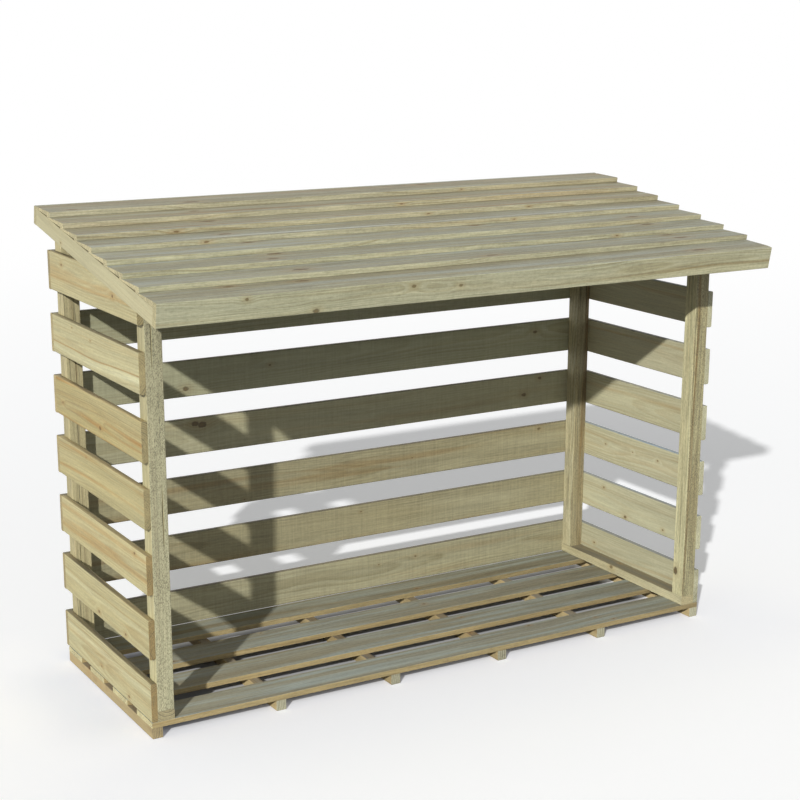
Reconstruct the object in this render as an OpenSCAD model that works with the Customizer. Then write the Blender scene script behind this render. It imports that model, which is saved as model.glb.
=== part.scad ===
// Open-fronted log store: slatted back and sides on a boarded base,
// under a single-pitch roof of lapped feather-edge boards.
// Millimetres, +Z up, front towards -Y, origin on the ground under the middle.

/* [Base] */
// Length of the floor, from the outer face of one slatted side to the other
floor_l = 1740; // [1000:10:2400]
// Depth of the floor, front edge to back edge
floor_d = 596; // [450:2:900]
// Thickness of a floor board
floor_t = 15; // [10:0.5:28]
// Width of a floor board
floor_board_w = 101; // [70:1:110]
// Number of floor boards
floor_boards_n = 4; // [3:1:5]
// Width of a bearer under the floor
bearer_w = 28; // [20:1:60]
// Height of a bearer under the floor
bearer_h = 28; // [20:1:60]
// Number of bearers
bearers_n = 6; // [3:1:8]

/* [Side frames] */
// Width of a post, across the store
post_w = 45; // [32:1:75]
// Depth of a post, front to back
post_d = 45; // [32:1:75]
// Height of the rails below and above the posts
rail_h = 27; // [18:1:50]

/* [Slats] */
// Height of a slat
slat_h = 103; // [70:0.5:130]
// Thickness of a slat
slat_t = 16; // [10:0.5:25]
// Gap between two slats, one above the other
slat_gap = 63; // [10:0.5:90]
// Rounding of a slat's long edges
slat_round = 4; // [1:0.5:4.5]
// Number of slats on each side and at the back
slat_rows = 7; // [4:1:8]

/* [Roof] */
// Slope of the roof in degrees, down to the front
roof_slope = 10.5; // [4:0.1:20]
// Overhang of the roof in front of the floor
roof_front = 191; // [60:1:300]
// Height of a rafter
rafter_h = 45; // [35:1:75]
// Thickness of a rafter
rafter_t = 30; // [18:1:45]
// Thickness of the front and rear fascia boards
fascia_t = 18; // [12:1:28]
// Number of roof boards
roof_boards_n = 8; // [6:1:9]
// Thickness of a roof board at its lower edge
nose_t = 14; // [10:0.5:22]
// Thickness of a roof board at its upper, feather edge
feather_t = 5; // [3:0.5:8]
// How far each roof board laps over the one below it
roof_lap = 20; // [10:1:35]
// Flat underside of a roof board on the rafters, in front of the lap
bed_show = 5; // [2:0.5:15]
// Extra cover of the lowest roof board at the eave
eave_extra = 2.5; // [0:0.5:10]
// Clearance between the top slats and the roof boards
roof_clear = 1; // [1:0.5:20]

/* [Hidden] */
left = -1;
right = 1;

// Heights of the base and the slats
floor_top = bearer_h + floor_t;
rail_top = floor_top + rail_h;
slat_step = slat_h + slat_gap;
slat_top = floor_top + (slat_rows - 1) * slat_step + slat_h;

// The roof's own frame: s runs up the slope from the front face, v stands square to it.
// The rafters' top edges lie at v = 0, which crosses the floor's front edge at eave_z.
eave_z = slat_top + roof_clear;
rear_s = (floor_d + roof_front - rail_h * sin(roof_slope)) / cos(roof_slope);
rail_s = (roof_front - rail_h * sin(roof_slope)) / cos(roof_slope);
roof_l = floor_l + 2 * rafter_t;

// Each roof board tilts on the feather edge of the one below, so that the two lie face to face
cover = (rear_s - eave_extra) / roof_boards_n;
board_tilt = asin(feather_t / cover);
board_w = cover * cos(board_tilt) + roof_lap;
bed_cut = (roof_lap + bed_show) * sin(board_tilt);

// Lower edge and upper edge of a roof board along the slope, and its underside's height there
function nose_s(k) = eave_extra + cover * (roof_boards_n - k);
function feather_s(k) = nose_s(k) + board_w * cos(board_tilt);
function under_v(k, s) = (feather_s(k) - s) * tan(board_tilt) - bed_cut;
rear_fascia_top = under_v(1, rear_s) + feather_t;

// The front edge is placed so that the origin is under the middle of the whole store
reach_front = roof_front + nose_t * sin(roof_slope);
reach_rear = (rear_s + fascia_t) * cos(roof_slope) + rafter_h * sin(roof_slope) - roof_front;
reach_back = max(reach_rear, floor_d + slat_t);
front_y = (reach_front - reach_back) / 2;
back_y = front_y + floor_d;

// Height of a post's sloping top, under the top rail
function post_top(y) = eave_z + (y - front_y) * tan(roof_slope) - rail_h / cos(roof_slope);

// Treated pine: bright planed slats, greyer posts and roof, warm floor
slat_colour = "#d3c98f";
post_colour = "#a8a37c";
roof_colour = "#a19d86";
fascia_colour = "#aaa987";
floor_colour = "#b0a273";
bearer_colour = "#c2b97f";

rows = [1 : slat_rows];
courses = [1 : roof_boards_n];

// A sawn piece from one corner to the opposite one
module timber(low, high) {
    translate(low) cube(high - low);
}

// A profile drawn in Y and Z, run along X
module along_x(length) {
    translate([-length / 2, 0, 0]) rotate([90, 0, 90]) linear_extrude(length) children();
}

// Moves X, s, v into the store's frame
module on_roof() {
    eave = [0, front_y - roof_front, eave_z - roof_front * tan(roof_slope)];
    translate(eave) rotate([roof_slope, 0, 0]) children();
}

// Middle of a post or a rail across the store
function post_x(side) = side * (floor_l / 2 - slat_t - post_w / 2);

// Bottom of a slat: the lowest row stands on the floor boards, row 1 is at the top
function slat_z(row) = floor_top + (slat_rows - row) * slat_step;

module bearers() {
    step = (floor_l - bearer_w) / (bearers_n - 1);
    color(bearer_colour)
    for (i = [0 : bearers_n - 1]) {
        x = -floor_l / 2 + i * step;
        timber([x, front_y, 0], [x + bearer_w, back_y, bearer_h]);
    }
}

module floor_boards() {
    step = (floor_d - floor_board_w) / (floor_boards_n - 1);
    color(floor_colour)
    for (i = [0 : floor_boards_n - 1]) {
        y = front_y + i * step;
        timber([-floor_l / 2, y, bearer_h], [floor_l / 2, y + floor_board_w, floor_top]);
    }
}

module bottom_rail(side) {
    x = post_x(side);
    color(post_colour)
    timber([x - post_w / 2, front_y, floor_top], [x + post_w / 2, back_y, rail_top]);
}

// The head of a post is cut to the roof's slope
module post(side, y) {
    color(post_colour)
    translate([post_x(side), 0, 0])
    along_x(post_w)
    polygon([
        [y, rail_top],
        [y + post_d, rail_top],
        [y + post_d, post_top(y + post_d)],
        [y, post_top(y)]
    ]);
}

module top_rail(side) {
    x = post_x(side);
    color(post_colour)
    on_roof() timber([x - post_w / 2, rail_s, -rail_h], [x + post_w / 2, rear_s, 0]);
}

// A planed slat's section about its middle, thickness along X and height along Y,
// with the long edges rounded and the faces left flat
module slat_profile() {
    square([slat_t, slat_h - 2 * slat_round], center = true);
    square([slat_t - 2 * slat_round, slat_h], center = true);
    for (i = [-1, 1], j = [-1, 1])
        translate([i * (slat_t / 2 - slat_round), j * (slat_h / 2 - slat_round)]) circle(slat_round);
}

module side_slat(side, row) {
    x = side * (floor_l / 2 - slat_t / 2);
    color(slat_colour)
    translate([x, back_y, slat_z(row) + slat_h / 2])
    rotate([90, 0, 0]) linear_extrude(floor_d) slat_profile();
}

module back_slat(row) {
    color(slat_colour)
    translate([0, back_y + slat_t / 2, slat_z(row) + slat_h / 2])
    along_x(floor_l) slat_profile();
}

// The end rafters hang outside the slats and carry the ends of the roof boards
module rafter(x) {
    color(slat_colour)
    on_roof() timber([x - rafter_t / 2, fascia_t, -rafter_h], [x + rafter_t / 2, rear_s, 0]);
}

module front_fascia() {
    color(fascia_colour)
    on_roof() timber([-roof_l / 2, 0, -rafter_h], [roof_l / 2, fascia_t, nose_t]);
}

module rear_fascia() {
    color(fascia_colour)
    on_roof() timber([-roof_l / 2, rear_s, -rafter_h], [roof_l / 2, rear_s + fascia_t, rear_fascia_top]);
}

// A tilted feather-edge board: even under the lap, thicker towards its lower edge
module feather_profile(k) {
    translate([feather_s(k), -bed_cut]) rotate(-board_tilt) polygon([
        [0, 0],
        [-board_w, 0],
        [-board_w, nose_t],
        [-roof_lap, feather_t],
        [0, feather_t]
    ]);
}

// The lowest board lies flat on the rafters, behind the front fascia
module eave_profile() {
    above = roof_boards_n - 1;
    lap_s = nose_s(above);
    back_s = lap_s + roof_lap * cos(board_tilt);
    polygon([
        [fascia_t, 0],
        [back_s, 0],
        [back_s, under_v(above, back_s)],
        [lap_s, under_v(above, lap_s)],
        [fascia_t, nose_t]
    ]);
}

// Boards are numbered down the slope; each is planed flat on the rafters,
// and the first is cut off at the rear fascia
module roof_board(k) {
    color(roof_colour)
    on_roof() along_x(roof_l)
    if (k == roof_boards_n) {
        eave_profile();
    } else {
        intersection() {
            feather_profile(k);
            square([rear_s, board_w]);
        }
    }
}

bearers();
floor_boards();
bottom_rail(left);  // left_bottom_rail
bottom_rail(right);  // right_bottom_rail
post(left, front_y);  // left_front_post
post(left, back_y - post_d);  // left_back_post
post(right, front_y);  // right_front_post
post(right, back_y - post_d);  // right_back_post
top_rail(left);  // left_top_rail
top_rail(right);  // right_top_rail
for (row = rows) {
    side_slat(left, row);
    side_slat(right, row);
    back_slat(row);
}
rafter(-(roof_l - rafter_t) / 2);  // left_rafter
rafter(0);  // middle_rafter
rafter((roof_l - rafter_t) / 2);  // right_rafter
front_fascia();
rear_fascia();
for (k = courses) {
    roof_board(k);
}
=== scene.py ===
import math
import random

import bmesh
import bpy
from mathutils import Matrix, Vector


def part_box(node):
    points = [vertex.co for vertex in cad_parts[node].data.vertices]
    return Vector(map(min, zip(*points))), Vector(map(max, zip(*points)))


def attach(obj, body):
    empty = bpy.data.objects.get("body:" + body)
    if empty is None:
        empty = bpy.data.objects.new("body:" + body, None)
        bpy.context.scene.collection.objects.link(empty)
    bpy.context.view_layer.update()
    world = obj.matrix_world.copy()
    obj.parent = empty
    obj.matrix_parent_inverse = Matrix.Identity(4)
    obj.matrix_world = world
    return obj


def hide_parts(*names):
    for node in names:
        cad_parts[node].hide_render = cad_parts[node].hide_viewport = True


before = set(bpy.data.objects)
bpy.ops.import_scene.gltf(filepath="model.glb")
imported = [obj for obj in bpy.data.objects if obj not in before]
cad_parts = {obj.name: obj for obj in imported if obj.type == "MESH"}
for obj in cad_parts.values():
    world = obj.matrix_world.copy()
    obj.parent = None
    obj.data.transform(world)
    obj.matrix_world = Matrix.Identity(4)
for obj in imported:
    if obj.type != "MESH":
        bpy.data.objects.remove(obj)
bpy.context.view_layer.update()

# Six square bearers of sawn pine, pressure treated, lie front to back on the ground.
# Each is one straight length with its arrises just taken off, and carries the floor boards.

RIGHTWARD = Vector((1, 0, 0))
BACKWARD = Vector((0, 1, 0))
UPWARD = Vector((0, 0, 1))
KNOT_NUMBERS = (1, 2, 3, 4)


def saw_timber(length, width, thick, round_over, steps=3):
    """A length of timber in its own axes: x along the grain, y across its face, z through it."""
    shape = bmesh.new()
    bmesh.ops.create_cube(shape, size=1)
    bmesh.ops.scale(shape, verts=shape.verts, vec=(length, width, thick))
    arrises = [e for e in shape.edges if abs(e.verts[0].co.x - e.verts[1].co.x) > length / 2]
    bmesh.ops.bevel(shape, geom=arrises, offset=round_over, offset_type="OFFSET", affect="EDGES",
                    segments=steps, profile=0.5, material=-1)
    ease_ends(shape, length, round_over / 8)
    return shape


def ease_ends(shape, length, saw_burr):
    """Takes the sharpness off the cut ends."""
    cuts = [e for e in shape.edges if all(abs(v.co.x) > length / 2 - saw_burr / 10 for v in e.verts)]
    bmesh.ops.bevel(shape, geom=cuts, offset=saw_burr, offset_type="OFFSET", affect="EDGES",
                    segments=1, profile=0.5, material=-1)


def lay(along, across, middle):
    """Turns a timber's own axes into the store's, with its middle at a given point."""
    turn = Matrix((along, across, along.cross(across))).transposed().to_4x4()
    return Matrix.Translation(middle) @ turn


def between(low, high, along, across):
    """Length, width and thickness of the timber that fills a box, and the way it lies there."""
    span = high - low
    through = along.cross(across)
    sizes = [abs(span.dot(axis)) for axis in (along, across, through)]
    return sizes, lay(along, across, (low + high) / 2)


def fit(name, shape, place, finish, node, tone=(0, 0, 0), far_tone=None, knots=(),
        streak=(0, 0.01, 0), far_streak=None, heart=None):
    """Marks the grain of one tree on a board's mesh and sets the board in its place.

    tone is how warm, how green and how dark the board is.
    knots are along, across and radius, or along, through and minus the radius on a board's side.
    streak is a long streak's place across, half width and warmth, below zero for pale sapwood; the pale band
    on roof boards 5 to 7 is painted light in the lap's shade.
    far_tone and far_streak are what these have become at the board's other end.
    heart is how far off the tree's pith lies, across and through, where it isn't left to chance."""
    tree = random.Random(name)
    along_trunk = tree.uniform(-9, 9)
    off_centre = tree.uniform(-0.03, 0.03)
    off_face = tree.choice((-1, 1)) * tree.uniform(0.02, 0.06)
    pith = Vector((along_trunk, off_centre, off_face))
    if heart:
        pith.yz = heart
    end_cut = shape.faces.layers.float.new("end_cut")
    shape.normal_update()
    for face in shape.faces:
        face.smooth = True
        face[end_cut] = 1.0 if abs(face.normal.x) > 0.7 else 0.0
    grain = shape.verts.layers.float_vector.new("grain")
    tones = shape.verts.layers.float_vector.new("tone")
    streaks = shape.verts.layers.float_vector.new("streak")
    if not shape.verts.layers.float.get("check"):
        shape.verts.layers.float.new("check")
    knot_marks = [shape.verts.layers.float_vector.new(f"knot_{i}") for i in KNOT_NUMBERS]
    far_away = (99, 0, 0.005)
    marks = [Vector(k) for k in list(knots) + [far_away] * len(KNOT_NUMBERS)]
    length = max(vert.co.x for vert in shape.verts) * 2
    for vert in shape.verts:
        t = vert.co.x / length + 0.5
        vert[grain] = vert.co + pith
        vert[tones] = Vector(tone).lerp(Vector(far_tone or tone), t)
        vert[streaks] = Vector(streak).lerp(Vector(far_streak or streak), t) + Vector((pith.y, 0, 0))
        for layer, mark in zip(knot_marks, marks):
            vert[layer] = (mark.x + pith.x, mark.y + (pith.y if mark.z > 0 else pith.z), mark.z)
    bmesh.ops.transform(shape, matrix=place, verts=shape.verts)
    mesh = bpy.data.meshes.new(name)
    shape.to_mesh(mesh)
    shape.free()
    mesh.set_sharp_from_angle(angle=math.radians(32))
    mesh.materials.append(finish)
    board = bpy.data.objects.new(name, mesh)
    bpy.context.scene.collection.objects.link(board)
    board.modifiers.new("flat faces", "WEIGHTED_NORMAL").keep_sharp = True
    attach(board, "root")
    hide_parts(node)
    return board


def add_node(tree, kind, feeds, **settings):
    """One shader node with its settings, and for each socket another socket or a plain value."""
    made = tree.nodes.new("ShaderNode" + kind)
    for setting, value in settings.items():
        setattr(made, setting, value)
    for socket, source in feeds.items():
        if isinstance(source, bpy.types.NodeSocket):
            tree.links.new(source, made.inputs[socket])
        else:
            made.inputs[socket].default_value = source
    return made


def work_out(tree, operation, *terms):
    return add_node(tree, "Math", dict(enumerate(terms)), operation=operation).outputs[0]


def plus(tree, value, other):
    return work_out(tree, "ADD", value, other)


def minus(tree, value, other):
    return work_out(tree, "SUBTRACT", value, other)


def times(tree, value, factor):
    return work_out(tree, "MULTIPLY", value, factor)


def times_plus(tree, value, factor, base):
    return work_out(tree, "MULTIPLY_ADD", value, factor, base)


def sum_of_squares(tree, value, other):
    return plus(tree, work_out(tree, "POWER", value, 2.0), work_out(tree, "POWER", other, 2.0))


def ease(tree, value, start, end):
    """Rises smoothly from 0 at start to 1 at end, or falls where end is the lower."""
    step = {"Value": value, "From Min": start, "From Max": end}
    return add_node(tree, "MapRange", step, interpolation_type="SMOOTHSTEP").outputs[0]


def stain(tree, amount, under, over, way="MIX"):
    mixed = add_node(tree, "Mix", {0: amount, 6: under, 7: over}, data_type="RGBA", blend_type=way)
    return mixed.outputs[2]


def split(tree, vector):
    return add_node(tree, "SeparateXYZ", {"Vector": vector}).outputs


def stretched_noise(tree, grain, along, across, detail=2.0, roughness=0.5):
    """Noise in the wood: so many features a metre along the grain, and so many across it."""
    drawn = add_node(tree, "Mapping", {"Vector": grain, "Scale": (along, across, across)})
    feeds = {"Vector": drawn.outputs[0], "Scale": 1.0, "Detail": detail, "Roughness": roughness}
    return add_node(tree, "TexNoise", feeds)


def new_group(name, inputs, outputs):
    """An empty node group with named sockets; gives the group, its inputs and its outputs."""
    group = bpy.data.node_groups.new(name, "ShaderNodeTree")
    for way, sockets in (("INPUT", inputs), ("OUTPUT", outputs)):
        for socket, kind in sockets.items():
            group.interface.new_socket(socket, in_out=way, socket_type="NodeSocket" + kind)
    return group, group.nodes.new("NodeGroupInput").outputs, group.nodes.new("NodeGroupOutput").inputs


def use_group(tree, group, feeds):
    made = tree.nodes.new("ShaderNodeGroup")
    made.node_tree = group
    for socket, source in feeds.items():
        if isinstance(source, bpy.types.NodeSocket):
            tree.links.new(source, made.inputs[socket])
        else:
            made.inputs[socket].default_value = source
    return made.outputs


def build_knot_group():
    """A branch grown into the board: brown core, dark bark rim, warm halo, and rings that bend round it."""
    group, given, out = new_group(
        "knot", {"Grain": "Vector", "Knot": "Vector", "Knot Stretch": "Float"},
        {"Core": "Float", "Rim": "Float", "Halo": "Float", "Bend": "Float"})
    here = split(group, given["Grain"])
    branch = split(group, given["Knot"])
    size = work_out(group, "ABSOLUTE", branch[2])
    sideways = work_out(group, "LESS_THAN", branch[2], 0.0)
    along = work_out(group, "DIVIDE", minus(group, here[0], branch[0]), given["Knot Stretch"])
    across = times_plus(group, sideways, minus(group, here[2], here[1]), here[1])
    across = minus(group, across, branch[1])
    squares = sum_of_squares(group, along, across)
    reach = work_out(group, "DIVIDE", work_out(group, "SQRT", squares), size)
    uneven = stretched_noise(group, given["Grain"], 120, 160, detail=3.0).outputs[0]
    reach = times_plus(group, minus(group, uneven, 0.5), 1.2, reach)
    facing = split(group, add_node(group, "NewGeometry", {}).outputs["Normal"])
    hidden = times(group, sideways, ease(group, facing[2], 0.35, 0.8))
    reach = times_plus(group, hidden, 99.0, reach)
    group.links.new(ease(group, reach, 1.1, 0.5), out["Core"])
    inner = ease(group, reach, 0.4, 0.8)
    ring = times(group, inner, ease(group, reach, 1.4, 0.95))
    bark = ease(group, size, 0.003, 0.006)
    group.links.new(times(group, ring, times_plus(group, bark, 0.8, 0.2)), out["Rim"])
    group.links.new(ease(group, reach, 4.5, 0.5), out["Halo"])
    bulge = ease(group, reach, 8.0, 0.4)
    group.links.new(times(group, bulge, size), out["Bend"])
    return group


def build_pine_group():
    """Treated pine: rings about the pith, fibres, streaks, knots, torn faces, end grain, greyed tops with a
    painted sheen, and painted shade in drying checks.
    """
    group, given, out = new_group(
        "treated pine",
        {"Grain": "Vector", "Tone": "Vector", "Streak": "Vector",
         **{f"Knot {i}": "Vector" for i in KNOT_NUMBERS},
         "End Cut": "Float", "Check": "Float", "Rough Face": "Float",
         "Sapwood": "Color", "Latewood": "Color", "Heartwood": "Color", "End Grain": "Color",
         "Top Colour": "Color", "Top Mix": "Float", "Ring Width": "Float", "Ring Depth": "Float",
         "Fibre Depth": "Float", "Flecks": "Float", "Saw Marks": "Float", "Knot Stretch": "Float",
         "Rough Tint": "Color", "Rough Depth": "Float", "Pits": "Float", "Cracks": "Float"},
        {"Colour": "Color", "Roughness": "Float", "Height": "Float"})
    grain = given["Grain"]
    tone = split(group, given["Tone"])
    knots = []
    for i in KNOT_NUMBERS:
        feeds = {"Grain": grain, "Knot": given[f"Knot {i}"], "Knot Stretch": given["Knot Stretch"]}
        knots.append(use_group(group, knot_group, feeds))

    def all_knots(output, way):
        joined = knots[0][output]
        for knot in knots[1:]:
            joined = work_out(group, way, joined, knot[output])
        return joined

    def wandering(vector, along, across, reach):
        drift = stretched_noise(group, vector, along, across, detail=1.0).outputs["Color"]
        centred = add_node(group, "VectorMath", {0: drift, 1: (0.5, 0.5, 0.5)}, operation="SUBTRACT")
        moved = {0: centred.outputs[0], 1: (0.0, reach, reach), 2: vector}
        return add_node(group, "VectorMath", moved, operation="MULTIPLY_ADD").outputs[0]

    # Growth rings, wandering a little and opening out along the tapering trunk
    wandered = wandering(wandering(grain, 1.6, 7.0, 0.035), 7.0, 45.0, 0.003)
    place = split(group, wandered)
    squares = sum_of_squares(group, place[1], place[2])
    radius = times_plus(group, place[0], 0.012, work_out(group, "SQRT", squares))
    radius = plus(group, radius, all_knots("Bend", "ADD"))
    years = work_out(group, "DIVIDE", radius, given["Ring Width"])
    season = work_out(group, "FRACT", years)
    year = work_out(group, "FLOOR", years)
    growth = add_node(group, "TexWhiteNoise", {"W": year}, noise_dimensions="1D").outputs["Value"]
    late = times(group, ease(group, season, 0.1, 0.8), ease(group, season, 1.0, 0.84))
    late = times(group, late, times_plus(group, growth, 0.8, 0.2))
    clear = ease(group, stretched_noise(group, grain, 1.6, 12).outputs[0], 0.3, 0.66)
    late = times(group, late, times_plus(group, clear, 0.8, 0.2))
    late = times(group, late, given["Ring Depth"])

    # Fibres, specks, broad pale and dark bands, and short dark flecks, all drawn out along the grain
    fibre = stretched_noise(group, wandered, 7, 210, detail=3.0, roughness=0.62).outputs[0]
    fibre = minus(group, fibre, 0.5)
    speck = stretched_noise(group, grain, 95, 240, detail=2.0, roughness=0.7).outputs[0]
    speck = minus(group, speck, 0.5)
    band = stretched_noise(group, wandered, 0.8, 19, detail=2.0).outputs[0]
    band = minus(group, band, 0.5)
    blotch = stretched_noise(group, grain, 2.2, 13, detail=3.0).outputs[0]
    fleck = stretched_noise(group, grain, 55, 300, detail=3.0, roughness=0.6).outputs[0]
    fleck = ease(group, fleck, 0.58, 0.68)
    sawn = stretched_noise(group, grain, 230, 9, detail=2.0, roughness=0.6).outputs[0]
    sawn = minus(group, sawn, 0.5)

    # The flat of the board: ring lines, then the board's own tone and its long streak
    colour = stain(group, late, given["Sapwood"], given["Latewood"])
    warm = ease(group, stretched_noise(group, wandered, 1.0, 30, detail=2.0).outputs[0], 0.54, 0.72)
    warm = times(group, warm, times_plus(group, tone[0], 0.6, 0.08))
    colour = stain(group, warm, colour, given["Heartwood"])
    warmth = times(group, tone[0], times_plus(group, blotch, 0.9, 0.1))
    warm_tint = (1.0, 0.90, 0.68, 1)
    colour = stain(group, warmth, colour, warm_tint, "MULTIPLY")
    greenness = times(group, tone[1], times_plus(group, blotch, 0.9, 0.2))
    green_tint = (0.88, 0.96, 0.86, 1)
    colour = stain(group, greenness, colour, green_tint, "MULTIPLY")
    streak = split(group, given["Streak"])
    off = work_out(group, "ABSOLUTE", minus(group, place[1], streak[0]))
    along_streak = ease(group, work_out(group, "DIVIDE", off, streak[1]), 1.15, 0.1)
    broken = ease(group, stretched_noise(group, wandered, 2.0, 90, detail=3.0).outputs[0], 0.36, 0.58)
    along_streak = times(group, along_streak, times_plus(group, broken, 0.65, 0.35))
    pale = times(group, along_streak, work_out(group, "MAXIMUM", 0.0, times(group, streak[2], -1.0)))
    # Pale sapwood in a pale streak; on roof boards 5 to 7 the same pale band is painted light in the shade
    # of the lap
    pale_sapwood_and_lap_light = (0.70, 0.67, 0.42, 1)
    colour = stain(group, pale, colour, pale_sapwood_and_lap_light)
    brown = times(group, along_streak, work_out(group, "MAXIMUM", 0.0, streak[2]))
    colour = stain(group, brown, colour, given["Heartwood"])
    upper_rim = work_out(group, "DIVIDE", minus(group, place[1], streak[0]), streak[1])
    upper_rim = ease(group, work_out(group, "ABSOLUTE", minus(group, upper_rim, 1.1)), 0.3, 0.0)
    upper_rim = times(group, upper_rim, times(group, streak[2], -0.9))
    rim_tint = (0.75, 0.70, 0.62, 1)
    rim_brown = stain(group, 1.0, given["Heartwood"], rim_tint, "MULTIPLY")
    colour = stain(group, upper_rim, colour, rim_brown)

    # Cut ends are duller and show the rings as arcs
    end_ring = (0.17, 0.15, 0.085, 1)
    end_colour = stain(group, times(group, late, 1.2), given["End Grain"], end_ring)
    colour = stain(group, given["End Cut"], colour, end_colour)

    # Upward faces take the board's top colour, bluer and browner by turns along the grain; the blue cast is
    # painted sheen of the sky
    facing = split(group, add_node(group, "NewGeometry", {}).outputs["Normal"])
    turn = ease(group, stretched_noise(group, wandered, 1.3, 42, detail=3.0).outputs[0], 0.4, 0.62)
    sheen_blued = times(group, turn, times_plus(group, tone[1], 1.3, 0.5))
    sky_sheen_blue = (0.93, 1.02, 1.20, 1)
    greyed = stain(group, sheen_blued, given["Top Colour"], sky_sheen_blue, "MULTIPLY")
    browned = times(group, minus(group, 1.0, turn), times_plus(group, tone[0], 0.8, 0.25))
    greyed = stain(group, browned, greyed, given["Latewood"])
    # The pale streak greys to a bleached pale on top; on roof boards 5 to 7 this is painted light in the
    # lap's shade
    bleached_and_lap_light = (0.46, 0.49, 0.46, 1)
    greyed = stain(group, pale, greyed, bleached_and_lap_light)
    greyed = stain(group, times(group, brown, 0.6), greyed, rim_brown)
    top_cover = times_plus(group, band, 1.3, 0.86)
    top_cover = add_node(group, "Clamp", {"Value": top_cover, "Min": 0.3, "Max": 1.0}).outputs[0]
    top_cover = times(group, ease(group, facing[2], 0.35, 0.8), top_cover)
    top_cover = times(group, top_cover, given["Top Mix"])
    colour = stain(group, top_cover, colour, greyed)

    # A rough sawn face has a tint of its own and is torn into short pits; long dark cracks split any face
    rough_face = given["Rough Face"]
    colour = stain(group, times(group, rough_face, given["Rough Depth"]), colour, given["Rough Tint"])
    tear = stretched_noise(group, grain, 240, 480, detail=2.0, roughness=0.6).outputs[0]
    torn = ease(group, tear, 0.47, 0.6)
    patch = ease(group, stretched_noise(group, grain, 8, 26, detail=2.0).outputs[0], 0.32, 0.6)
    torn = times(group, torn, times_plus(group, patch, 0.35, 0.65))
    torn = times(group, times(group, torn, given["Pits"]), rough_face)
    cracked = stretched_noise(group, wandered, 2.6, 150, detail=2.0).outputs[0]
    cracked = ease(group, times_plus(group, given["Cracks"], 0.1, cracked), 0.69, 0.74)
    flat = minus(group, 1.0, given["End Cut"])
    splits = times(group, flat, work_out(group, "MINIMUM", 1.0, given["Cracks"]))
    torn = work_out(group, "MAXIMUM", torn, times(group, cracked, splits))
    pit_shade = (0.095, 0.085, 0.05, 1)
    colour = stain(group, times(group, torn, 0.65), colour, pit_shade)

    # Light and dark of the wood itself
    light = times_plus(group, fibre, given["Fibre Depth"], 1.0)
    light = times_plus(group, speck, times(group, given["Fibre Depth"], 0.5), light)
    light = times_plus(group, band, times_plus(group, top_cover, 0.5, 0.5), light)
    light = times_plus(group, sawn, given["Saw Marks"], light)
    light = times_plus(group, late, times(group, top_cover, -0.35), light)
    light = times_plus(group, minus(group, turn, 0.5), times(group, top_cover, 0.16), light)
    mottle = times(group, minus(group, 0.5, tear), given["End Cut"])
    light = plus(group, light, mottle)
    light = minus(group, light, tone[2])
    shade = add_node(group, "CombineColor", {0: light, 1: light, 2: light}).outputs[0]
    colour = stain(group, 1.0, colour, shade, "MULTIPLY")
    fleck_brown = (0.15, 0.115, 0.065, 1)
    colour = stain(group, times(group, fleck, given["Flecks"]), colour, fleck_brown)

    # Knots, browner than the heartwood
    halo = times(group, all_knots("Halo", "MAXIMUM"), times(group, flat, 0.3))
    colour = stain(group, halo, colour, given["Heartwood"])
    core = times(group, all_knots("Core", "MAXIMUM"), times(group, flat, 0.85))
    knot_tint = (0.42, 0.41, 0.39, 1)
    knot_brown = stain(group, 1.0, given["Heartwood"], knot_tint, "MULTIPLY")
    colour = stain(group, core, colour, knot_brown)
    rim = times(group, all_knots("Rim", "MAXIMUM"), times(group, flat, 0.7))
    bark_brown = (0.075, 0.05, 0.025, 1)
    colour = stain(group, rim, colour, bark_brown)
    # Painted shade darkens the bottom of each drying check
    painted_check_shade = (0.03, 0.025, 0.015, 1)
    colour = stain(group, times(group, given["Check"], 0.9), colour, painted_check_shade)
    group.links.new(colour, out["Colour"])

    rough = times_plus(group, fibre, 0.25, 0.62)
    group.links.new(times_plus(group, late, -0.1, rough), out["Roughness"])
    height = times_plus(group, late, 0.25, times(group, fibre, 0.8))
    height = times_plus(group, speck, 0.5, height)
    group.links.new(times_plus(group, torn, -1.2, height), out["Height"])
    return group


def paint(web_colour):
    """A written colour, such as #b5ac86, as Blender mixes it."""
    parts = [int(web_colour[i:i + 2], 16) / 255 for i in (1, 3, 5)]
    return [((c + 0.055) / 1.055) ** 2.4 if c > 0.04 else c / 12.92 for c in parts] + [1]


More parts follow.
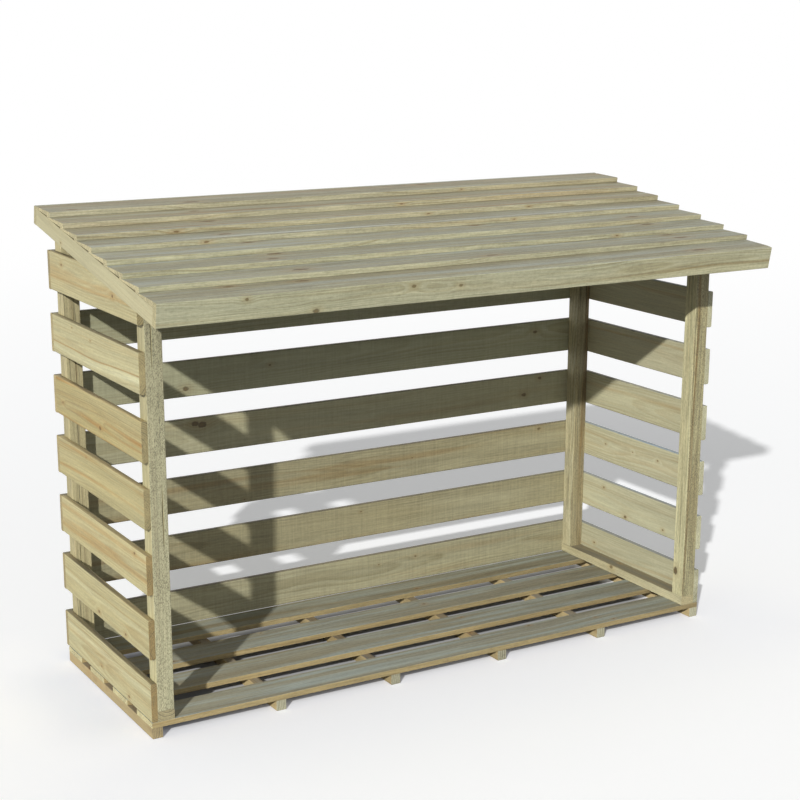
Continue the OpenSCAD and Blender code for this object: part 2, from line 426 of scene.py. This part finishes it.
def pine_finish(name, sapwood, latewood, heartwood, end_grain, top_colour="#8f8d82", top_mix=0.0,
                ring_width=0.005, ring_depth=0.8, fibre_depth=0.45, flecks=0.1, saw_marks=0.0,
                knot_stretch=1.5, rough_axis=None, rough_tint="#aaa890", rough_depth=0.25,
                pits=0.2, cracks=0.0):
    """A finish of treated pine; rough_axis is the axis that its torn, rough sawn faces look along."""
    finish = bpy.data.materials.new(name)
    finish.use_nodes = True
    tree = finish.node_tree
    shader = tree.nodes["Principled BSDF"]
    feeds = {}
    marks = {"Grain": "grain", "Tone": "tone", "Streak": "streak"}
    for i in KNOT_NUMBERS:
        marks[f"Knot {i}"] = f"knot_{i}"
    for socket, mark in marks.items():
        feeds[socket] = add_node(tree, "Attribute", {}, attribute_name=mark).outputs["Vector"]
    for socket, mark in {"End Cut": "end_cut", "Check": "check"}.items():
        feeds[socket] = add_node(tree, "Attribute", {}, attribute_name=mark).outputs["Fac"]
    if rough_axis is not None:
        facing = split(tree, add_node(tree, "NewGeometry", {}).outputs["Normal"])
        feeds["Rough Face"] = ease(tree, work_out(tree, "ABSOLUTE", facing[rough_axis]), 0.6, 0.8)
    feeds["Sapwood"] = paint(sapwood)
    feeds["Latewood"] = paint(latewood)
    feeds["Heartwood"] = paint(heartwood)
    feeds["End Grain"] = paint(end_grain)
    feeds["Top Colour"] = paint(top_colour)
    feeds["Top Mix"] = top_mix
    feeds["Ring Width"] = ring_width
    feeds["Ring Depth"] = ring_depth
    feeds["Fibre Depth"] = fibre_depth
    feeds["Flecks"] = flecks
    feeds["Saw Marks"] = saw_marks
    feeds["Knot Stretch"] = knot_stretch
    feeds["Rough Tint"] = paint(rough_tint)
    feeds["Rough Depth"] = rough_depth
    feeds["Pits"] = pits
    feeds["Cracks"] = cracks
    wood = use_group(tree, pine_group, feeds)
    tree.links.new(wood["Colour"], shader.inputs["Base Color"])
    tree.links.new(wood["Roughness"], shader.inputs["Roughness"])
    bump = add_node(tree, "Bump", {"Strength": 0.5, "Distance": 0.0008, "Height": wood["Height"]})
    tree.links.new(bump.outputs[0], shader.inputs["Normal"])
    shader.inputs["Specular IOR Level"].default_value = 0.35
    return finish


def grown_knots(name, length, width, most=3):
    """A few knots anywhere on a board, the same each time for the same board."""
    tree = random.Random("knots of " + name)
    knots = []
    for _ in range(tree.randint(1, most)):
        along = tree.uniform(-0.47, 0.47) * length
        across = tree.uniform(-0.42, 0.42) * width
        knots.append((along, across, tree.uniform(0.0018, 0.0042)))
    return knots


knot_group = build_knot_group()
pine_group = build_pine_group()

bearer_pine = pine_finish("bearer_pine", "#c2ae80", "#ac9264", "#b48c52", "#b5b195",
                          top_colour="#7d7668", top_mix=0.95, ring_width=0.006, ring_depth=1.0)
corner_bearer_pine = pine_finish("corner_bearer_pine", "#c2ae80", "#ac9264", "#b48c52", "#b29f76",
                                 top_colour="#7d7668", top_mix=0.95, ring_width=0.006, ring_depth=1.0)
bearer_darks = (0.10, -0.05, 0.28, 0.18, 0.05, -0.14)
bearer_count = 6
bearer_width = 0.028
pith_across = 0.09
pith_step = 0.004
pith_through = 0.01
bearers_low, bearers_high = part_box("bearers")
bearer_step = (bearers_high.x - bearers_low.x - bearer_width) / (bearer_count - 1)
for i in range(bearer_count):
    name = f"bearer_{i + 1}"
    low = bearers_low + RIGHTWARD * i * bearer_step
    high = Vector((low.x + bearer_width, bearers_high.y, bearers_high.z))
    sizes, place = between(low, high, BACKWARD, RIGHTWARD)
    bearer = saw_timber(*sizes, round_over=0.0015)
    finish = corner_bearer_pine if i == 0 else bearer_pine
    fit(name, bearer, place, finish, "bearers", tone=(0.1, 0, bearer_darks[i]),
        knots=grown_knots(name, *sizes[:2]), heart=(pith_across + pith_step * i, pith_through))

# Four wide floor boards lie along the store on the bearers, with gaps for air between them.
# They are planed pine with eased edges, greyed on top, and are nailed into each bearer.

floor_pine = pine_finish("floor_pine", "#ad9b70", "#957e55", "#a57f4a", "#cfc494",
                         top_colour="#999c8c", top_mix=0.95, ring_depth=0.6, fibre_depth=0.9, flecks=0.3)
floor_board_count = 4
floor_board_width = 0.101
left_end_tone = (0.05, 0.2, -0.08)
right_end_tone = (0.1, 0.1, 0.35)
front_board_pale = (0.02, 0.03, -0.25)
floor_low, floor_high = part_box("floor_boards")
floor_step = (floor_high.y - floor_low.y - floor_board_width) / (floor_board_count - 1)
for i in range(floor_board_count):
    name = f"floor_board_{i + 1}"
    low = floor_low + BACKWARD * i * floor_step
    high = Vector((floor_high.x, low.y + floor_board_width, floor_high.z))
    sizes, place = between(low, high, RIGHTWARD, BACKWARD)
    board = saw_timber(*sizes, round_over=0.001)
    fit(name, board, place, floor_pine, "floor_boards", tone=left_end_tone,
        far_tone=right_end_tone, far_streak=front_board_pale if i == 0 else None,
        knots=grown_knots(name, *sizes[:2]))

# A flat bottom rail on each side ties the feet of two posts together.
# It is sawn pine, laid on the floor boards and screwed down through them.

frame_pine = pine_finish("frame_pine", "#c1b996", "#a99a72", "#b4955c", "#aea27c",
                         top_colour="#655f50", top_mix=0.95, fibre_depth=0.8, flecks=0.3)
inner_face_knot = (0.039, -0.0073, -0.0048)
rail_front_tones = {"left": (0, 0, 0), "right": (0, 0.2, -0.08)}
rail_back_tones = {"left": (0, 0, 0), "right": (0.1, 0.2, 0.1)}
for side in ("left", "right"):
    name = f"{side}_bottom_rail"
    sizes, place = between(*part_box(name), BACKWARD, RIGHTWARD)
    rail = saw_timber(*sizes, round_over=0.002)
    knots = [inner_face_knot] + grown_knots(name, *sizes[:2])
    fit(name, rail, place, frame_pine, name, tone=rail_front_tones[side],
        far_tone=rail_back_tones[side], knots=knots)

# Four square posts stand on the bottom rails at the corners, their heads cut to the roof's slope.
# They are rough sawn pine, torn and pitted on the front, with drying checks that follow the grain.

roof_slope = math.radians(10.5)
front_to_back = 1
hair = 1e-6
pitted_pine = pine_finish("pitted_pine", "#ccc399", "#a99c74", "#957547", "#b09c6e",
                          fibre_depth=0.7, flecks=0.2, rough_axis=front_to_back,
                          rough_tint="#b4b294", rough_depth=0.6, pits=0.9, cracks=0.45)
cracked_pine = pine_finish("cracked_pine", "#d4c89c", "#ac9e76", "#8a6a3e", "#b09c6e",
                           fibre_depth=0.8, flecks=0.2, rough_axis=front_to_back,
                           rough_tint="#9c9472", rough_depth=0.33, pits=0.25, cracks=1.0)
streaky_pine = pine_finish("streaky_pine", "#d5cfa6", "#a89870", "#8a6a3e", "#b09c6e",
                           fibre_depth=1.3, flecks=0.5, rough_axis=front_to_back,
                           rough_tint="#7c6b3e", rough_depth=0.44, pits=0.9, cracks=0.5)
brown_pine = pine_finish("brown_pine", "#cfc7a2", "#a89870", "#8a6a3e", "#b09c6e",
                         fibre_depth=1.2, flecks=0.3, rough_axis=front_to_back,
                         rough_tint="#8e7f58", rough_depth=0.45, pits=0.4, cracks=0.7)


def open_check(shape, face_z, across, begin, end, gape, depth=0.006, cuts=9):
    """A drying check: the face is cut beside a line along the grain, and the line is pressed in and marked
    for painted shade.
    """
    groove_shade = shape.verts.layers.float.get("check") or shape.verts.layers.float.new("check")

    def cut(point, square_to):
        whole = shape.verts[:] + shape.edges[:] + shape.faces[:]
        bmesh.ops.bisect_plane(shape, geom=whole, plane_co=point, plane_no=square_to, dist=hair)

    for y in (across - gape, across, across + gape):
        cut((0, y, 0), (0, 1, 0))
    for i in range(cuts + 1):
        cut((begin + (end - begin) * i / cuts, 0, 0), (1, 0, 0))
    for vert in shape.verts:
        t = (vert.co.x - begin) / (end - begin)
        on_face = abs(vert.co.z - face_z) <= hair * 10
        beside_line = abs(vert.co.y - across) <= gape * 1.1
        if not (on_face and beside_line and -0.01 < t < 1.01):
            continue
        opened = math.sin(math.pi * min(max(t, 0), 1)) ** 0.6
        if abs(vert.co.y - across) < gape / 10:
            vert.co.z -= math.copysign(depth * opened, face_z)
            vert[groove_shade] = 1.0
        else:
            vert.co.y = across + (vert.co.y - across) * max(opened, 0.05)


post_checks = {
    "left_front_post": ((-0.006, 0.330, 0.510, 0.0016), (0.009, -0.120, 0.060, 0.0016)),
    "left_back_post": ((0.004, 0.100, 0.420, 0.0016), (-0.008, -0.380, -0.130, 0.0016)),
    "right_front_post": ((-0.0165, 0.020, 0.330, 0.0026), (-0.0150, -0.260, 0.000, 0.0026),
                         (-0.0120, -0.500, -0.280, 0.0022)),
    "right_back_post": ((-0.007, -0.300, 0.020, 0.0016), (0.010, 0.120, 0.400, 0.0016)),
}
foot_tones = {
    "left_front_post": (0.1, 0.3, -0.09),
    "left_back_post": (0.3, 0.2, 0.14),
    "right_front_post": (0.05, 0.2, 0.02),
    "right_back_post": (0.15, 0.2, 0.21),
}
head_tones = {
    "left_front_post": (0.15, 0.3, 0.22),
    "left_back_post": (0.3, 0.2, 0.15),
    "right_front_post": (0.25, 0.1, 0.06),
    "right_back_post": (0.3, 0, 0.16),
}
post_finishes = {
    "left_front_post": pitted_pine,
    "left_back_post": cracked_pine,
    "right_front_post": streaky_pine,
    "right_back_post": brown_pine,
}
post_streaks = {
    "left_front_post": (-0.014, 0.007, 0.4),
    "left_back_post": (0.004, 0.006, 0.4),
    "right_front_post": (-0.013, 0.008, 0.8),
    "right_back_post": (0.012, 0.012, 0.9),
}
side_knots = {"right_front_post": ((-0.455, 0.0103, -0.0068),)}
for name, checks in post_checks.items():
    low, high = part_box(name)
    sizes, place = between(low, high, UPWARD, RIGHTWARD)
    post = saw_timber(*sizes, round_over=0.002)
    front_face = -sizes[2] / 2
    for across, begin, end, gape in checks:
        open_check(post, front_face, across, begin, end, gape)
    head = Vector((high.z - (low.z + high.z) / 2, 0, sizes[2] / 2))
    slope_face = Vector((math.cos(roof_slope), 0, -math.sin(roof_slope)))
    whole = post.verts[:] + post.edges[:] + post.faces[:]
    bmesh.ops.bisect_plane(post, geom=whole, plane_co=head, plane_no=slope_face, clear_outer=True, dist=hair)
    bmesh.ops.holes_fill(post, edges=[e for e in post.edges if e.is_boundary], sides=0)
    fit(name, post, place, post_finishes[name], name, tone=foot_tones[name],
        far_tone=head_tones[name], streak=post_streaks[name], knots=side_knots.get(name, ()))

# A sloping top rail on each side joins the heads of the posts and meets the underside of the roof.
# It is the same sawn section as the bottom rail, nailed down into the posts.

eave_low, eave_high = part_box("front_fascia")
rafter_height = 0.045
nose_thickness = 0.014
eave_y = eave_low.y + nose_thickness * math.sin(roof_slope)
eave_z = eave_low.z + rafter_height * math.cos(roof_slope)
roof_frame = Matrix.Translation((0, eave_y, eave_z)) @ Matrix.Rotation(roof_slope, 4, "X")
rail_width = 0.045
rail_height = 0.027
for side in ("left", "right"):
    name = f"{side}_top_rail"
    low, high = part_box(name)
    lower_end = roof_frame.inverted() @ Vector((0, low.y, low.z + rail_height * math.cos(roof_slope)))
    upper_end = roof_frame.inverted() @ Vector((0, high.y - rail_height * math.sin(roof_slope), high.z))
    middle_x = (low.x + high.x) / 2
    low = Vector((middle_x - rail_width / 2, lower_end.y, -rail_height))
    high = Vector((middle_x + rail_width / 2, upper_end.y, 0))
    sizes, place = between(low, high, BACKWARD, RIGHTWARD)
    rail = saw_timber(*sizes, round_over=0.002)
    fit(name, rail, roof_frame @ place, frame_pine, name, knots=grown_knots(name, *sizes[:2]))

# Seven slats close each side and the back, one above the other with open gaps for the air.
# They are planed pine with well rounded edges, nailed to the outer faces of the posts.

# The slats' tops are stained brown, and their dark top colour is partly painted shade in the gaps between
# the slats
slat_pine = pine_finish("slat_pine", "#c4bc92", "#ab996c", "#b2884a", "#a4966c",
                        top_colour="#352d1f", top_mix=0.95, fibre_depth=0.7)
low_slat_pine = pine_finish("low_slat_pine", "#c4bc92", "#ab996c", "#b2884a", "#9a8458",
                            top_colour="#352d1f", top_mix=0.95, fibre_depth=0.7)
low_slat_row = 5
slat_round = 0.004
slat_rows = range(1, 8)
left_tones = ((0.35, 0, 0.01), (0.15, 0.1, -0.01), (1.3, 0, 0.12), (0.9, 0.1, 0.09),
              (0.6, 0, -0.05), (0.5, 0.1, 0.01), (0.25, 0.1, -0.06))
left_streaks = ((-0.010, 0.008, 0.4), (-0.024, 0.011, -0.75), (0.012, 0.012, 0.2), (-0.016, 0.007, 0.6),
                (0.030, 0.010, 0.4), (0.004, 0.010, -0.4), (0.020, 0.012, -0.4))
left_knots = (
    ((0.210, 0.025, 0.0034), (-0.145, -0.005, 0.004)),
    ((0.152, 0.037, 0.0018), (0.021, 0.025, 0.0020)),
    ((0.248, -0.012, 0.0030), (-0.023, -0.024, 0.0045)),
    ((0.090, 0.040, 0.0018),),
    ((-0.223, 0.037, 0.0040),),
    ((0.044, -0.034, 0.0040), (-0.142, -0.036, 0.0035)),
    ((0.044, -0.022, 0.0030), (-0.148, -0.036, 0.0040)),
)
for row in slat_rows:
    name = f"left_slat_{row}"
    sizes, place = between(*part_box(name), BACKWARD, UPWARD)
    slat = saw_timber(*sizes, round_over=slat_round, steps=5)
    finish = low_slat_pine if row >= low_slat_row else slat_pine
    fit(name, slat, place, finish, name, tone=left_tones[row - 1], knots=left_knots[row - 1],
        streak=left_streaks[row - 1])

# The right side has the same seven slats, nailed to the outer faces of the right posts.
# Their inner faces are planed too, and are paler and greener than the left side's outer ones.

right_slat_pine = pine_finish("right_slat_pine", "#c7c1a2", "#b0a17d", "#ab8a55", "#c4c09e",
                              top_colour="#8c9492", top_mix=0.95, fibre_depth=0.55)
right_tones = ((0.2, 0.2, 0), (0.1, 0.3, 0.02), (0.2, 0.3, 0.08), (0.2, 0.4, 0.03),
               (0.1, 0.4, 0.03), (0, 0.5, 0.03), (0, 0.4, 0.20))
right_knots = {
    5: ((0.146, 0.004, 0.0025), (0.012, 0.008, 0.0020), (-0.108, 0.009, 0.0025)),
    6: ((0.147, 0.028, 0.0030), (0.036, -0.040, 0.0045), (-0.145, -0.033, 0.0030)),
    7: ((0.187, 0, 0.0030),),
}
for row in slat_rows:
    name = f"right_slat_{row}"
    sizes, place = between(*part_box(name), BACKWARD, UPWARD)
    slat = saw_timber(*sizes, round_over=slat_round, steps=5)
    tree = random.Random(name)
    streak = (tree.uniform(-0.03, 0.03), tree.uniform(0.004, 0.010), tree.uniform(0.1, 0.5))
    fit(name, slat, place, right_slat_pine, name, tone=right_tones[row - 1],
        knots=right_knots.get(row, ()), streak=streak)

# The slats at the back run the whole length of the store, nailed to the rear posts from behind.
# They are the same pine, greyer above and browner lower down, with fine marks of the saw.

back_slat_pine = pine_finish("back_slat_pine", "#a4a084", "#8c8567", "#8d7750", "#bba97a",
                             top_colour="#6b6049", top_mix=0.95, fibre_depth=0.6, saw_marks=0.35)
# The top row is darker, as painted shade under the eave
back_tones_and_eave_shade = ((0.1, 0.2, 0.10), (0, 0.5, -0.07), (0, 0.5, -0.09), (0.3, 0.2, -0.04),
              (0.8, 0, 0.18), (0.8, 0, 0.16), (0.4, 0.1, 0.14))
back_knots = {
    3: ((-0.498, -0.028, 0.0055), (-0.237, 0.012, 0.0030), (0.681, 0.020, 0.0045)),
    4: ((-0.472, 0.035, 0.0065), (-0.452, 0.030, 0.0075), (0.644, -0.010, 0.0050), (0.703, 0.037, 0.0045)),
}
for row in slat_rows:
    name = f"back_slat_{row}"
    sizes, place = between(*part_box(name), RIGHTWARD, UPWARD)
    slat = saw_timber(*sizes, round_over=slat_round, steps=5)
    knots = back_knots.get(row) or grown_knots(name, *sizes[:2])
    fit(name, slat, place, back_slat_pine, name, tone=back_tones_and_eave_shade[row - 1], knots=knots)

# Three rafters carry the roof boards: one outside the slats at each end and one in the middle.
# They are planed pine on edge, nailed to the fascia boards, and at the ends through the slats to the posts.

rafter_pine = pine_finish("rafter_pine", "#c4bc95", "#b5a982", "#b79b63", "#c2b68c",
                          top_colour="#54492f", top_mix=1.0, ring_depth=0.5, ring_width=0.004, flecks=0.05)
fascia_thickness = 0.018
rafter_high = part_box("left_rafter")[1]
upper_corner = Vector((0, rafter_high.y - rafter_height * math.sin(roof_slope), rafter_high.z))
rafter_end = (roof_frame.inverted() @ upper_corner).y
for side in ("left", "middle", "right"):
    name = f"{side}_rafter"
    low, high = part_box(name)
    low = Vector((low.x, fascia_thickness, -rafter_height))
    high = Vector((high.x, rafter_end, 0))
    sizes, place = between(low, high, BACKWARD, UPWARD)
    rafter = saw_timber(*sizes, round_over=0.0015)
    fit(name, rafter, roof_frame @ place, rafter_pine, name,
        knots=grown_knots(name, *sizes[:2], most=1))

# A fascia board closes the roof at the front and at the rear, square to the slope.
# Each is one length of sawn pine, nailed to the ends of the rafters and flush with the boards on top.

fascia_pine = pine_finish("fascia_pine", "#b8b597", "#8b825c", "#a5905f", "#c2b78c", top_colour="#a09d88",
                          top_mix=0.8, fibre_depth=1.0, ring_width=0.004, ring_depth=1.0, flecks=0.25,
                          saw_marks=0.15)
fascia_knots = {
    "front_fascia": ((-0.679, 0.021, 0.0036), (-0.237, 0.015, 0.0040), (-0.102, 0.006, 0.0038),
                     (-0.498, -0.024, 0.0050)),
    "rear_fascia": ((-0.310, 0.012, 0.0030), (0.420, -0.015, 0.0025)),
}
fascia_left_tone = (0, 0.3, -0.03)
fascia_right_tone = (0.2, 0.1, 0.13)
warm_at_left = (-0.022, 0.004, 0.3)
pale_at_right = (-0.025, 0.017, -0.65)
rear_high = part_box("rear_fascia")[1]
rear_top = (roof_frame.inverted() @ Vector((0, rear_high.y, rear_high.z))).z
fascia_spans = {
    "front_fascia": (0, fascia_thickness, nose_thickness),
    "rear_fascia": (rafter_end, rafter_end + fascia_thickness, rear_top),
}
for name, (face, back, top) in fascia_spans.items():
    low = Vector((eave_low.x, face, -rafter_height))
    high = Vector((eave_high.x, back, top))
    sizes, place = between(low, high, RIGHTWARD, UPWARD)
    fascia = saw_timber(*sizes, round_over=0.002)
    fit(name, fascia, roof_frame @ place, fascia_pine, name, tone=fascia_left_tone,
        far_tone=fascia_right_tone, knots=fascia_knots[name], streak=warm_at_left, far_streak=pale_at_right)

# Eight feather-edge boards cover the roof, each lapped over the thin edge of the board below it.
# They are sawn pine, thick at the lower edge, greyed on top and nailed through the lap to the rafters.

roof_pine = pine_finish("roof_pine", "#b2ad91", "#928662", "#a07e4d", "#cfc397",
                        top_colour="#97937c", top_mix=0.95, fibre_depth=1.2, ring_width=0.004, flecks=0.2,
                        saw_marks=0.12, knot_stretch=3.0)
roof_board_count = 8
feather_thickness = 0.005
roof_lap = 0.020
bed_show = 0.005
eave_extra = 0.0025
cover = (rafter_end - eave_extra) / roof_board_count
board_tilt = math.asin(feather_thickness / cover)
board_width = cover * math.cos(board_tilt) + roof_lap
bed_cut = (roof_lap + bed_show) * math.sin(board_tilt)


def nose_at(k):
    return eave_extra + cover * (roof_board_count - k)


def underside(k, s):
    """Height of a board's underside over the rafters, s up the slope."""
    feather_edge = nose_at(k) + board_width * math.cos(board_tilt)
    return (feather_edge - s) * math.tan(board_tilt) - bed_cut


def tilted(k, back, up):
    """A point of a tilted board, measured back from its feather edge and up from its underside."""
    feather_edge = nose_at(k) + board_width * math.cos(board_tilt)
    s = feather_edge - back * math.cos(board_tilt) + up * math.sin(board_tilt)
    return s, back * math.sin(board_tilt) + up * math.cos(board_tilt) - bed_cut


def board_outline(k):
    """The section of a roof board as points up the slope and over the rafters."""
    if k == roof_board_count:
        lap = nose_at(k - 1)
        lap_end = lap + roof_lap * math.cos(board_tilt)
        return [(fascia_thickness, 0), (lap_end, 0), (lap_end, underside(k - 1, lap_end)),
                (lap, underside(k - 1, lap)), (fascia_thickness, nose_thickness)]
    on_rafters = nose_at(k) + board_width * math.cos(board_tilt) - bed_cut / math.tan(board_tilt)
    nose_foot = tilted(k, board_width, 0)
    nose_top = tilted(k, board_width, nose_thickness)
    lap_start = tilted(k, roof_lap, feather_thickness)
    feather_top = tilted(k, 0, feather_thickness)
    if k == 1:
        end_top = underside(k, rafter_end) + feather_thickness / math.cos(board_tilt)
        return [(rafter_end, 0), (on_rafters, 0), nose_foot, nose_top, lap_start, (rafter_end, end_top)]
    rise = feather_top[1] / (feather_thickness * math.cos(board_tilt))
    feather_foot = (feather_top[0] - rise * feather_thickness * math.sin(board_tilt), 0)
    return [feather_foot, (on_rafters, 0), nose_foot, nose_top, lap_start, feather_top]


roof_tones = ((0.1, -0.2, 0.02), (0.15, -0.1, -0.01), (0.3, -0.1, -0.01), (0, 0.3, 0),
              (-0.1, 0.5, -0.06), (-0.1, 0.5, -0.02), (-0.1, 0.5, -0.01), (0, 0.4, 0))
right_end_turn = Vector((0.25, -0.2, 0.07))
# On boards 5 to 7 the pale streak lies high on the board, under the nose of the board above, as painted
# light against the shade of the lap
roof_streaks_and_lap_light = ((0.028, 0.040, 0.6), (-0.044, 0.012, 0.9), (-0.048, 0.010, 0.9), (-0.055, 0.014, -0.9),
                (0.025, 0.025, -0.3), (0.025, 0.025, -0.3), (0.025, 0.025, -0.4), (0, 0.010, 0.2))
roof_knots = {
    1: ((-0.832, 0.020, 0.0045), (-0.500, 0.028, 0.0060), (0.252, 0.086, 0.0060), (0.336, 0.012, -0.0016)),
    2: ((0.076, 0.012, -0.0022), (-0.520, 0.060, 0.0045)),
    3: ((-0.520, 0.072, 0.0060), (-0.638, 0.011, -0.0030), (0.104, 0.012, -0.0018), (0.436, 0.012, -0.0016)),
    4: ((-0.600, 0.012, -0.0028), (-0.528, 0.052, 0.0055), (0.320, 0.012, -0.0016)),
    5: ((-0.492, 0.088, 0.0050), (0.684, 0.044, 0.0060), (0.184, 0.088, 0.0045)),
    6: ((-0.500, 0.032, 0.0050), (-0.468, 0.088, 0.0060), (0.696, 0.088, 0.0060), (0.524, 0.012, -0.0022)),
    7: ((-0.468, 0.044, 0.0065), (0.696, 0.040, 0.0060), (0.064, 0.020, 0.0050), (0.688, 0.088, 0.0050)),
    8: ((-0.496, 0.080, 0.0050), (0.676, 0.036, 0.0060), (-0.684, 0.088, 0.0045)),
}
roof_length = eave_high.x - eave_low.x
nose_round = 0.0012
end_burr = 0.0003
square_corner = math.radians(60)
for k in range(1, roof_board_count + 1):
    name = f"roof_board_{k}"
    outline = board_outline(k)
    middle_s = sum(s for s, v in outline) / len(outline)
    board = bmesh.new()
    corners = [board.verts.new((-roof_length / 2, s - middle_s, v)) for s, v in outline]
    section = board.faces.new(corners)
    grown = bmesh.ops.extrude_face_region(board, geom=[section])
    far_end = [v for v in grown["geom"] if isinstance(v, bmesh.types.BMVert)]
    bmesh.ops.translate(board, verts=far_end, vec=(roof_length, 0, 0))
    bmesh.ops.recalc_face_normals(board, faces=board.faces)
    nose_edges = [e for e in board.edges if abs(e.verts[0].co.x - e.verts[1].co.x) > roof_length / 2
                  and e.calc_face_angle() > square_corner]
    bmesh.ops.bevel(board, geom=nose_edges, offset=nose_round, offset_type="OFFSET", affect="EDGES",
                    segments=2, profile=0.5, material=-1)
    ease_ends(board, roof_length, end_burr)
    place = roof_frame @ Matrix.Translation((0, middle_s, 0))
    nose = nose_at(k) - middle_s
    knots = [(along, nose + off if radius > 0 else off, radius) for along, off, radius in roof_knots[k]]
    tone = Vector(roof_tones[k - 1])
    fit(name, board, place, roof_pine, name, tone=tone, far_tone=tone + right_end_turn,
        knots=knots, streak=roof_streaks_and_lap_light[k - 1])

# The studio is a plain pale floor under one low sun from the front left, with white walls all round.
# The floor runs out into the white ground and keeps the store's own shadow.

floor_radius = 40
floor_drop = Vector((0, 0, -0.0006))
ground = bmesh.new()
bmesh.ops.create_circle(ground, cap_ends=True, segments=96, radius=floor_radius)
bmesh.ops.translate(ground, verts=ground.verts, vec=floor_drop)
ground_mesh = bpy.data.meshes.new("studio_floor")
ground.to_mesh(ground_mesh)
ground.free()
studio_floor = bpy.data.objects.new("studio_floor", ground_mesh)
bpy.context.scene.collection.objects.link(studio_floor)


def to_be_seen(tree):
    """1 for the rays that show the studio, straight or in a polished or clear piece, and 0 for the rest."""
    ray = add_node(tree, "LightPath", {}).outputs
    mirrored = work_out(tree, "MAXIMUM", ray["Is Glossy Ray"], ray["Is Transmission Ray"])
    return work_out(tree, "MAXIMUM", ray["Is Camera Ray"], mirrored)


floor_paint = bpy.data.materials.new("studio_floor_paint")
floor_paint.use_nodes = True
tree = floor_paint.node_tree
tree.nodes.remove(tree.nodes["Principled BSDF"])
seen = to_be_seen(tree)
spot = add_node(tree, "TexCoord", {}).outputs["Object"]
across_store, back_store, _ = split(tree, spot)
off_middle = work_out(tree, "ABSOLUTE", minus(tree, back_store, (floor_low.y + floor_high.y) / 2))
beside = minus(tree, work_out(tree, "ABSOLUTE", across_store), floor_high.x)
before = minus(tree, off_middle, (floor_high.y - floor_low.y) / 2)
away = work_out(tree, "MAXIMUM", beside, before)
clear_of_store = ease(tree, away, -0.08, -0.01)
bounce_grey = 0.08
# Under the store the floor shows a darker grey and no glow, as painted shade beneath it
under_store_shade_grey = 0.46
open_gain = 0.37
seen_grey = times(tree, seen, times_plus(tree, clear_of_store, open_gain, under_store_shade_grey))
matt_grey = plus(tree, seen_grey, bounce_grey)
matt_paint = add_node(tree, "CombineColor", {0: matt_grey, 1: matt_grey, 2: matt_grey})
matt = add_node(tree, "BsdfDiffuse", {"Color": matt_paint.outputs[0]})

# A faint glow brings the floor to the pale of studio paper; less of it, and cooler, close to the store's
# front is painted contact shade
painted_front_shade = times(tree, ease(tree, away, 0.5, -0.1), ease(tree, back_store, 0.1, -0.15))
far_front = ease(tree, back_store, floor_low.y - 0.2, floor_low.y - 0.8)
plain_lift = 0.22
far_gain = 0.035
front_shade_gain = -0.06
lit = times_plus(tree, far_front, far_gain, plain_lift)
lit = times_plus(tree, painted_front_shade, front_shade_gain, lit)
lit = times(tree, lit, times(tree, seen, clear_of_store))
# Painted contact shade beside the store's left side: less glow there, tinted blue
left_shade_reach = 0.3
left_shade_middle = 0.12
painted_left_shade = times(tree, ease(tree, across_store, floor_low.x - left_shade_reach, floor_low.x),
                      ease(tree, across_store, floor_low.x + left_shade_reach, floor_low.x))
left_shade_along = work_out(tree, "ABSOLUTE", minus(tree, back_store, left_shade_middle))
left_shade_full = 0.12
left_shade_end = 0.40
painted_left_shade = times(tree, painted_left_shade, ease(tree, left_shade_along, left_shade_end, left_shade_full))
cream_lift = (1.0, 0.978, 0.91, 1)
front_shade_cool = (1.0, 0.99, 1.05, 1)
left_shade_blue = (0.12, 0.22, 0.5, 1)
lift_colour = stain(tree, painted_front_shade, cream_lift, front_shade_cool)
lift_colour = stain(tree, painted_left_shade, lift_colour, left_shade_blue)
lift = add_node(tree, "Emission", {"Strength": lit, "Color": lift_colour})
near = add_node(tree, "AddShader", {0: matt.outputs[0], 1: lift.outputs[0]})
distance = add_node(tree, "VectorMath", {0: spot}, operation="LENGTH").outputs["Value"]
white = add_node(tree, "Emission", {"Strength": 1.0})
fade_start = 2.0
fade_end = 9.0
fade = times(tree, ease(tree, distance, fade_start, fade_end), seen)
mixed = add_node(tree, "MixShader", {0: fade, 1: near.outputs[0], 2: white.outputs[0]})
tree.links.new(mixed.outputs[0], tree.nodes["Material Output"].inputs["Surface"])
ground_mesh.materials.append(floor_paint)

sun_travel = Vector((0.622, 0.636, -0.457))
sun_lamp = bpy.data.lights.new("sun", "SUN")
sun_lamp.energy = 3.36
sun_lamp.angle = math.radians(1.2)
sun = bpy.data.objects.new("sun", sun_lamp)
sun.rotation_euler = sun_travel.to_track_quat("-Z", "Y").to_euler()
bpy.context.scene.collection.objects.link(sun)

sky = bpy.data.worlds.new("studio_sky")
sky.use_nodes = True
bpy.context.scene.world = sky
tree = sky.node_tree
shown = to_be_seen(tree)
wall_light = 0.75
ceiling_light = 0.10
height = split(tree, add_node(tree, "TexCoord", {}).outputs["Generated"])[2]
ceiling_edge = 0.40
ceiling_full = 0.75
overhead = ease(tree, height, ceiling_edge, ceiling_full)
sky_light = times_plus(tree, overhead, ceiling_light - wall_light, wall_light)
strength = work_out(tree, "MAXIMUM", sky_light, shown)
tree.links.new(strength, tree.nodes["Background"].inputs["Strength"])
cool_white = (0.95, 0.985, 1.05, 1)
plain_white = (1, 1, 1, 1)
wall_paint = stain(tree, shown, cool_white, plain_white)
tree.links.new(wall_paint, tree.nodes["Background"].inputs["Color"])

# The camera stands at the front left, above the eave, and looks a little down at the store.
# Its shift keeps the uprights where a cropped picture has them.

lens = bpy.data.cameras.new("camera")
lens.sensor_width = 36
lens.lens = 74.556
lens.shift_x = 0.0270
lens.shift_y = 0.0604
camera = bpy.data.objects.new("camera", lens)
camera.location = (-2.2761, -3.7658, 1.7453)
look_down = math.radians(14.809)
look_right = math.radians(29.989)
camera.rotation_euler = (math.pi / 2 - look_down, 0, -look_right)
bpy.context.scene.collection.objects.link(camera)
bpy.context.scene.camera = camera
bpy.context.scene.view_settings.view_transform = "Standard"
